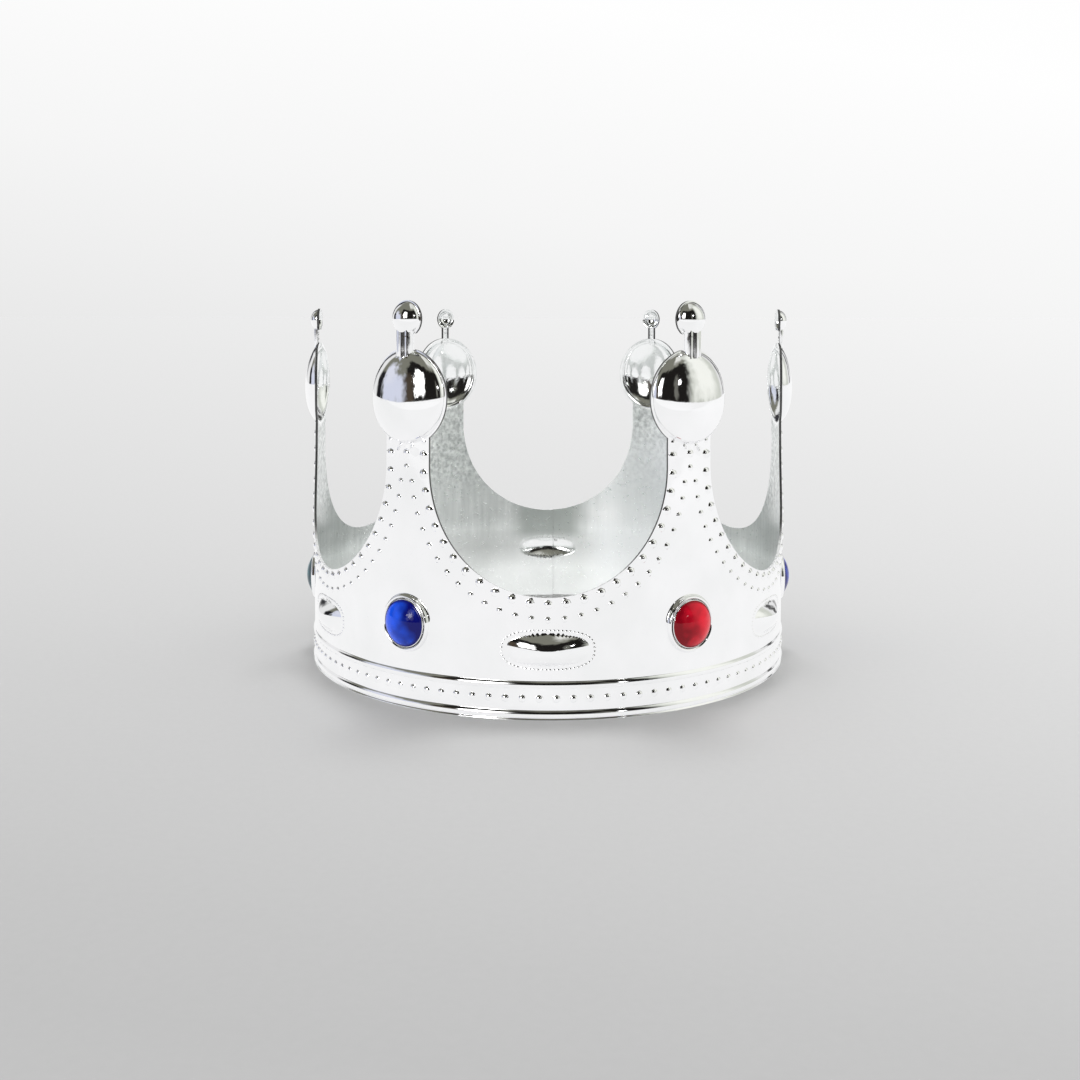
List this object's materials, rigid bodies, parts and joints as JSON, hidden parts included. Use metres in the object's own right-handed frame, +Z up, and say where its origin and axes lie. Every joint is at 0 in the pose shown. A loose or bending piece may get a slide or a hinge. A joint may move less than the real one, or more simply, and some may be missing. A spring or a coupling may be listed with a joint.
{
  "type": "party crown",
  "caption": "Silver metallised plastic crown: an oval lapped band with arched openings, domed ball finials, capsule bosses and glued cabochon gems.",
  "frame": {"origin": "centre of the oval ring on the surface it rests on, at the height of the band's bottom edge", "axes": "+Z up through the finials, -Y out of the front of the crown, +X to the right seen from the front; the lap seam is at +Y"},
  "size_m": [0.178, 0.1942, 0.1256],
  "materials": {
    "crown_band": "vacuum-metallised bright silver",
    "gem_front_left": "translucent coloured acrylic, foil backed",
    "gem_front_right": "translucent coloured acrylic, foil backed",
    "gem_right": "translucent coloured acrylic, foil backed",
    "gem_back_right": "translucent coloured acrylic, foil backed",
    "gem_back_left": "translucent coloured acrylic, foil backed",
    "gem_left": "translucent coloured acrylic, foil backed",
    "gem_glue_dots": "dried clear glue",
    "seam_glue": "dried clear glue"
  },
  "bodies": {
    "root": {"crown_band": "crown_band", "gem_front_left": "gem_front_left", "gem_front_right": "gem_front_right", "gem_right": "gem_right", "gem_back_right": "gem_back_right", "gem_back_left": "gem_back_left", "gem_left": "gem_left", "gem_glue_dots": "gem_glue_dots", "seam_glue": "seam_glue"}
  },
  "joints": []
}
